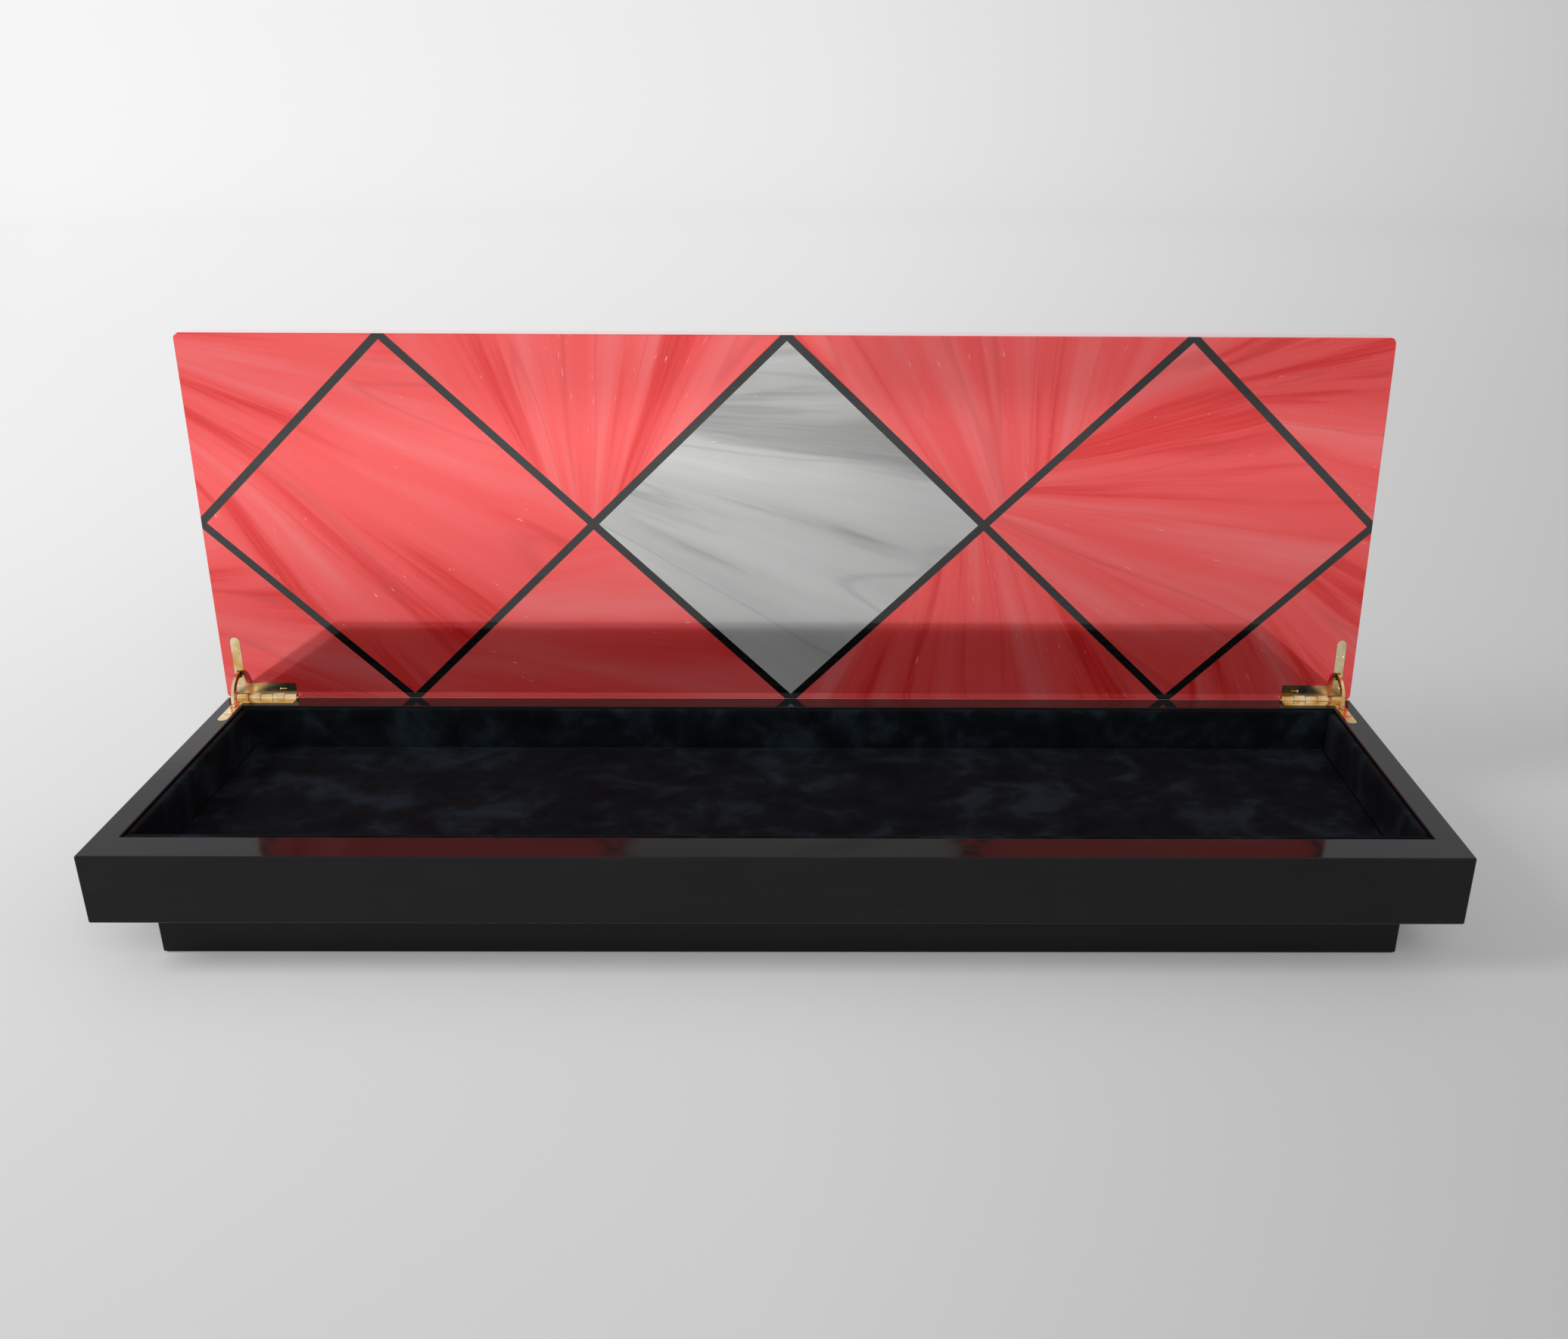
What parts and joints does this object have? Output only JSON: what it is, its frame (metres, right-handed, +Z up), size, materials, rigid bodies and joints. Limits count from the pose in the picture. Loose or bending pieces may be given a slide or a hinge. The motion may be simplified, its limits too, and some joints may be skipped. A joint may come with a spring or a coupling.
{
  "type": "hinged presentation box",
  "caption": "Long low presentation box: black lacquered tray on a recessed plinth, suede lined, with a marquetry lid that stands open on brass quadrant hinges.",
  "frame": {"origin": "middle of the underside, on the felt under the plinth", "axes": "+X along the box's length, to the right seen from the front; +Y from the front towards the hinges; +Z up"},
  "size_m": [0.6, 0.2148, 0.2457],
  "materials": {
    "black_lacquer": "satin black lacquer over fibreboard",
    "fibreboard": "raw sanded fibreboard",
    "suede": "blue-black suede with a short uneven nap",
    "felt": "black pressed felt",
    "brass": "polished brass",
    "screw_steel": "zinc plated",
    "red_veneer": "red dyed veneer under clear gloss lacquer",
    "grey_veneer": "grey dyed veneer under clear gloss lacquer",
    "black_stringing": "black dyed veneer line under clear gloss lacquer"
  },
  "bodies": {
    "case": {"back_liner": "suede", "back_rail": "black_lacquer", "base_board": "fibreboard", "base_felt": "felt", "bottom_cover": "fibreboard", "case_leaf_screws": "brass", "floor_board": "fibreboard", "floor_pad": "suede", "front_liner": "suede", "front_rail": "black_lacquer", "left_case_leaf": "brass", "left_hinge_pin": "brass", "left_liner": "suede", "left_rail": "black_lacquer", "plinth_back_rail": "black_lacquer", "plinth_corner_blocks": "fibreboard", "plinth_front_rail": "black_lacquer", "plinth_left_rail": "black_lacquer", "plinth_right_rail": "black_lacquer", "plinth_screws": "screw_steel", "right_case_leaf": "brass", "right_hinge_pin": "brass", "right_liner": "suede", "right_rail": "black_lacquer"},
    "lid": {"left_lid_leaf": "brass", "lid_back_lipping": "red_veneer", "lid_core": "fibreboard", "lid_front_lipping": "red_veneer", "lid_leaf_screws": "brass", "lid_left_lipping": "red_veneer", "lid_right_lipping": "red_veneer", "lower_panel_1": "red_veneer", "lower_panel_2": "red_veneer", "lower_panel_3": "red_veneer", "lower_panel_4": "red_veneer", "lozenge_panel_1": "red_veneer", "lozenge_panel_2": "grey_veneer", "lozenge_panel_3": "red_veneer", "outer_veneer": "red_veneer", "right_lid_leaf": "brass", "stringing": "black_stringing", "upper_panel_1": "red_veneer", "upper_panel_2": "red_veneer", "upper_panel_3": "red_veneer", "upper_panel_4": "red_veneer"},
    "left_arm": {"left_stay_arm": "brass"},
    "right_arm": {"right_stay_arm": "brass"}
  },
  "joints": [
    {"name": "lid_hinge", "type": "hinge", "parent": "case", "child": "lid", "pos_m": [0, 0.0935, 0.05903], "axis": [1, 0, 0], "range_deg": [0, 93]},
    {"name": "left_arm_turn", "type": "hinge", "parent": "case", "child": "left_arm", "pos_m": [-0.292, 0.0935, 0.05903], "axis": [1, 0, 0], "range_deg": [0, 46.5]},
    {"name": "right_arm_turn", "type": "hinge", "parent": "case", "child": "right_arm", "pos_m": [0.292, 0.0935, 0.05903], "axis": [1, 0, 0], "range_deg": [0, 46.5]}
  ],
  "couplings": [
    {"joint": "left_arm_turn", "follows": "lid_hinge", "ratio": 0.5},
    {"joint": "right_arm_turn", "follows": "lid_hinge", "ratio": 0.5}
  ]
}
